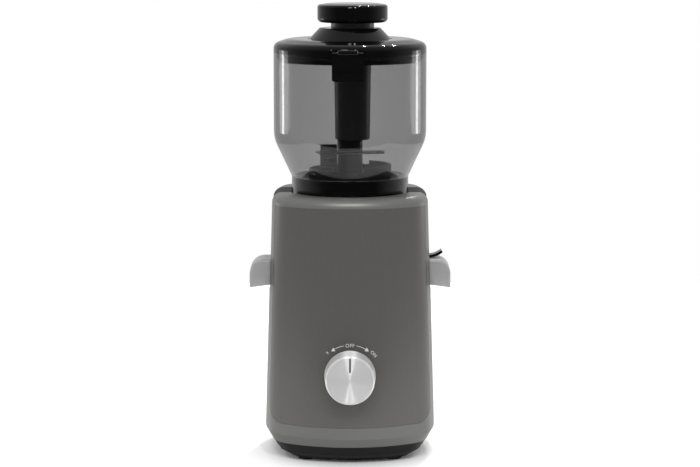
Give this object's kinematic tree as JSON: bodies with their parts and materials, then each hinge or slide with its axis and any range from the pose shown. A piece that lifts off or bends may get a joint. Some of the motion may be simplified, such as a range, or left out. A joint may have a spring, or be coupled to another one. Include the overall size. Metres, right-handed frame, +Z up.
{
  "type": "cold press juicer",
  "caption": "Upright slow juicer: grey tower with a dial, lift-out drum with pulp and juice spouts, clear wide hopper, hinged lid with a latch and pusher",
  "frame": {"origin": "on the drive axis at table height, at the centre of the feet and of the bounding box's base", "axes": "+Z up along the drive axis, front with the dial towards -Y, juice spout towards +X"},
  "size_m": [0.2, 0.2124, 0.449],
  "materials": {
    "body_shell": "satin metallic grey moulding",
    "panel_metal": "dark grey metallic sheet",
    "black_plastic": "fine matt black",
    "black_gloss": "polished black",
    "smoke_clear": "clear smoke grey",
    "smoke_milky": "translucent smoke grey",
    "auger_plastic": "dark satin",
    "spun_metal": "spun and brushed",
    "steel": "brushed",
    "motor_steel": "plain",
    "copper_winding": "enamelled wire",
    "gear_plastic": "natural moulding",
    "bronze": "sintered",
    "silicone": "soft matt",
    "black_rubber": "matt",
    "board_green": "lacquered"
  },
  "bodies": {
    "tower": {"housing": "body_shell", "front_panel": "panel_metal", "top_cover": "body_shell", "base_pan": "black_plastic", "rubber_feet": "black_rubber", "base_screws": "steel", "control_board": "board_green", "cord_gland": "black_rubber", "knob_plinth": "black_plastic", "rotary_switch": "black_plastic", "motor_can": "motor_steel", "motor_lower_cap": "motor_steel", "motor_upper_cap": "motor_steel", "motor_bearings": "bronze", "stator": "motor_steel", "windings": "copper_winding", "compound_pin": "steel", "gear_case": "black_plastic", "gear_lid": "black_plastic", "gear_screws": "steel", "output_bush": "bronze", "deck_seal": "silicone"},
    "dial": {"knob": "spun_metal", "knob_pointer": "black_plastic", "switch_shaft": "steel"},
    "motor_rotor": {"rotor_core": "motor_steel", "motor_shaft": "steel", "motor_fan": "black_plastic", "motor_pinion": "steel"},
    "second_shaft": {"compound_gear": "gear_plastic"},
    "output": {"output_gear": "gear_plastic", "output_shaft": "steel"},
    "drum_set": {"drum": "smoke_milky", "pulp_plug": "silicone", "drum_seal": "silicone", "lever_pin": "steel", "filter_basket": "steel"},
    "lever": {"juice_lever": "black_gloss"},
    "screw_set": {"auger": "auger_plastic", "cutter_dish": "black_gloss", "cutter_hub": "auger_plastic", "hub_cap": "black_gloss", "wing_blade": "steel", "tall_blade": "steel"},
    "hopper_set": {"hopper": "smoke_clear", "feed_collar": "black_gloss", "hopper_seal": "silicone", "lid_hinge_pin": "steel"},
    "lid_set": {"lid": "black_gloss", "lid_seal": "silicone", "latch_pin": "steel"},
    "latch": {"lid_latch": "black_gloss"},
    "pusher": {"pusher_stem": "black_gloss", "pusher_cap": "black_gloss"}
  },
  "joints": [
    {"name": "knob_turn", "type": "hinge", "parent": "tower", "child": "dial", "pos_m": [0, -0.09, 0.092], "axis": [0, 1, 0], "range_deg": [-45, 45]},
    {"name": "output_spin", "type": "hinge", "parent": "tower", "child": "output", "pos_m": [0, 0, 0.13], "axis": [0, 0, 1], "continuous": true},
    {"name": "compound_spin", "type": "hinge", "parent": "tower", "child": "second_shaft", "pos_m": [0, 0.03, 0.12], "axis": [0, 0, 1], "continuous": true},
    {"name": "motor_spin", "type": "hinge", "parent": "tower", "child": "motor_rotor", "pos_m": [0, 0, 0.07], "axis": [0, 0, 1], "continuous": true},
    {"name": "drum_lift", "type": "slide", "parent": "tower", "child": "drum_set", "axis": [0, 0, 1], "range_m": [0, 0.11]},
    {"name": "auger_spin", "type": "hinge", "parent": "drum_set", "child": "screw_set", "pos_m": [0, 0, 0.2], "axis": [0, 0, 1], "continuous": true},
    {"name": "lever_lift", "type": "hinge", "parent": "drum_set", "child": "lever", "pos_m": [0.074, 0, 0.1993], "axis": [0, -1, 0], "range_deg": [0, 30]},
    {"name": "hopper_lift", "type": "slide", "parent": "drum_set", "child": "hopper_set", "axis": [0, 0, 1], "range_m": [0, 0.09]},
    {"name": "lid_hinge", "type": "hinge", "parent": "hopper_set", "child": "lid_set", "pos_m": [0, 0.08, 0.404], "axis": [-1, 0, 0], "range_deg": [0, 100]},
    {"name": "latch_swing", "type": "hinge", "parent": "lid_set", "child": "latch", "pos_m": [-0.002, -0.0805, 0.405], "axis": [-1, 0, 0], "range_deg": [0, 85]},
    {"name": "pusher_slide", "type": "slide", "parent": "lid_set", "child": "pusher", "axis": [0, 0, 1], "range_m": [0, 0.112]}
  ],
  "couplings": [
    {"joint": "auger_spin", "follows": "output_spin", "ratio": 1},
    {"joint": "compound_spin", "follows": "output_spin", "ratio": -3.8},
    {"joint": "motor_spin", "follows": "output_spin", "ratio": 19}
  ]
}
